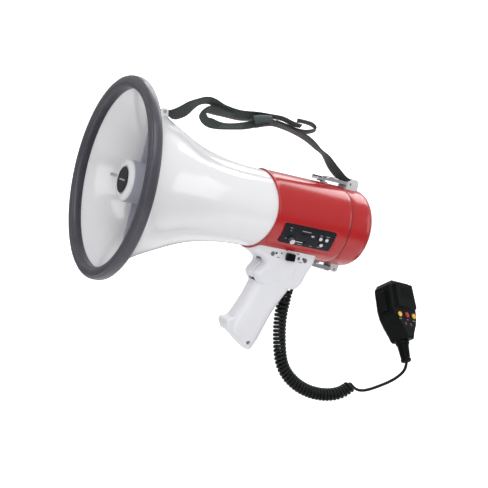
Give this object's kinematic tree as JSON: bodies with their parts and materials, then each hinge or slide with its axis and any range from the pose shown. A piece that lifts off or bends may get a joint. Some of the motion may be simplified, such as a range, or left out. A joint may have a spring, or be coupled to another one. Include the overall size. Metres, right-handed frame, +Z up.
{
  "type": "handheld megaphone",
  "caption": "Handheld megaphone with a flared re-entrant horn, pistol grip and trigger, latched battery cap, shoulder strap and a corded fist microphone.",
  "frame": {"origin": "centre of the hand grip, between the trigger and the foot", "axes": "+Z up with the megaphone held level, horn mouth towards -X, battery cap towards +X, control panel on the -Y side"},
  "size_m": [0.4547, 0.23, 0.3308],
  "materials": {
    "horn_white": "glossy moulded ABS",
    "rim_rubber": "satin rubber bead",
    "badge_black": "glossy",
    "fin_grey": "moulded",
    "driver_metal": "plain",
    "driver_magnet": "sintered",
    "diaphragm": "formed film",
    "housing_red": "glossy moulded ABS",
    "gasket_black": "satin",
    "battery": "plain sleeve",
    "holder_black": "moulded",
    "contact_brass": "bright",
    "panel_black": "fine texture",
    "key_silver": "satin plated",
    "port_steel": "plain",
    "board_green": "solder mask",
    "grip_white": "fine texture",
    "trigger_white": "smooth",
    "screw_steel": "zinc",
    "switch_black": "ribbed",
    "latch_chrome": "polished",
    "bracket_white": "moulded",
    "strap_web": "woven",
    "mic_black": "fine texture",
    "cord_black": "satin",
    "key_yellow": "smooth",
    "key_red": "smooth"
  },
  "bodies": {
    "body": {"amplifier_board": "board_green", "badge_disc": "badge_black", "battery_cells": "battery", "battery_contacts": "contact_brass", "battery_holder": "holder_black", "bell_rim": "rim_rubber", "body_housing": "housing_red", "control_panel": "panel_black", "driver_diaphragm": "diaphragm", "driver_magnet": "driver_magnet", "driver_mount_plate": "holder_black", "driver_top_plate": "driver_metal", "driver_yoke": "driver_metal", "grip_screws": "screw_steel", "grip_shell_left": "grip_white", "grip_shell_right": "grip_white", "horn_bell": "horn_white", "latch_keepers": "latch_chrome", "mic_socket": "port_steel", "mode_switch_body": "switch_black", "reflector_barrel": "horn_white", "reflector_fins": "fin_grey", "sd_slot": "port_steel", "shoulder_strap": "strap_web", "strap_bar_front": "latch_chrome", "strap_lug_front": "bracket_white", "tone_tube": "horn_white", "trigger_pin": "screw_steel", "trigger_return_leaf": "port_steel", "trigger_switch": "switch_black", "usb_port": "port_steel", "volume_pot": "port_steel"},
    "rear_cap": {"rear_cap": "housing_red", "cap_gasket": "gasket_black", "strap_bracket_rear": "bracket_white", "latch_bracket_lower": "bracket_white", "latch_pins": "screw_steel"},
    "latch_top": {"latch_lever_top": "latch_chrome"},
    "latch_lower": {"latch_lever_lower": "latch_chrome"},
    "trigger": {"trigger": "trigger_white"},
    "mode_switch": {"mode_switch_knob": "switch_black"},
    "volume": {"volume_knob": "key_silver"},
    "key_up": {"panel_button_up": "key_silver"},
    "key_down": {"panel_button_down": "key_silver"},
    "key_mode": {"panel_button_mode": "key_silver"},
    "mic": {"coiled_cord": "cord_black", "cord_leads": "cord_black", "mic_plug": "cord_black", "mic_shell_back": "mic_black", "mic_shell_front": "mic_black", "mic_capsule": "port_steel", "mic_cord_boot": "mic_black"},
    "mic_talk": {"mic_talk_bar": "mic_black"},
    "mic_key_left": {"mic_button_left": "key_yellow"},
    "mic_key_middle": {"mic_button_middle": "key_red"},
    "mic_key_right": {"mic_button_right": "key_yellow"}
  },
  "joints": [
    {"name": "cap_slide", "type": "slide", "parent": "body", "child": "rear_cap", "axis": [1, 0, 0], "range_m": [0, 0.012]},
    {"name": "latch_top_lift", "type": "hinge", "parent": "rear_cap", "child": "latch_top", "pos_m": [0.0825, 0, 0.164], "axis": [0, 1, 0], "range_deg": [0, 14.4]},
    {"name": "latch_lower_lift", "type": "hinge", "parent": "rear_cap", "child": "latch_lower", "pos_m": [0.0885, 0, 0.06], "axis": [0, -1, 0], "range_deg": [0, 30]},
    {"name": "trigger_squeeze", "type": "hinge", "parent": "body", "child": "trigger", "pos_m": [-0.003, 0, 0.0525], "axis": [0, -1, 0], "range_deg": [0, 6], "stiffness_Nm_per_rad": 0.4},
    {"name": "mode_slide", "type": "slide", "parent": "body", "child": "mode_switch", "axis": [1, 0, 0], "range_m": [-0.0035, 0.0035]},
    {"name": "volume_turn", "type": "hinge", "parent": "body", "child": "volume", "pos_m": [0.0035, -0.04286, 0.08625], "axis": [0, -0.8572, -0.515], "range_deg": [-270, 0]},
    {"name": "key_up_press", "type": "slide", "parent": "body", "child": "key_up", "axis": [0, 0.9304, 0.3665], "range_m": [0, 0.0008], "stiffness_N_per_m": 300},
    {"name": "key_down_press", "type": "slide", "parent": "body", "child": "key_down", "axis": [0, 0.9304, 0.3665], "range_m": [0, 0.0008], "stiffness_N_per_m": 300},
    {"name": "key_mode_press", "type": "slide", "parent": "body", "child": "key_mode", "axis": [0, 0.8572, 0.515], "range_m": [0, 0.0008], "stiffness_N_per_m": 300},
    {"name": "mic_unplug", "type": "slide", "parent": "body", "child": "mic", "axis": [0, 0, -1], "range_m": [0, 0.012]},
    {"name": "mic_talk_press", "type": "slide", "parent": "mic", "child": "mic_talk", "axis": [0.962, 0.2672, -0.0566], "range_m": [0, 0.0006], "stiffness_N_per_m": 400},
    {"name": "mic_key_left_press", "type": "slide", "parent": "mic", "child": "mic_key_left", "axis": [-0.2517, 0.7876, -0.5624], "range_m": [0, 0.0008], "stiffness_N_per_m": 300},
    {"name": "mic_key_middle_press", "type": "slide", "parent": "mic", "child": "mic_key_middle", "axis": [-0.2517, 0.7876, -0.5624], "range_m": [0, 0.0008], "stiffness_N_per_m": 300},
    {"name": "mic_key_right_press", "type": "slide", "parent": "mic", "child": "mic_key_right", "axis": [-0.2517, 0.7876, -0.5624], "range_m": [0, 0.0008], "stiffness_N_per_m": 300}
  ],
  "couplings": [
    {"joint": "latch_top_lift", "follows": "cap_slide", "rad_per_m": 20.944},
    {"joint": "latch_lower_lift", "follows": "cap_slide", "rad_per_m": 43.633}
  ]
}
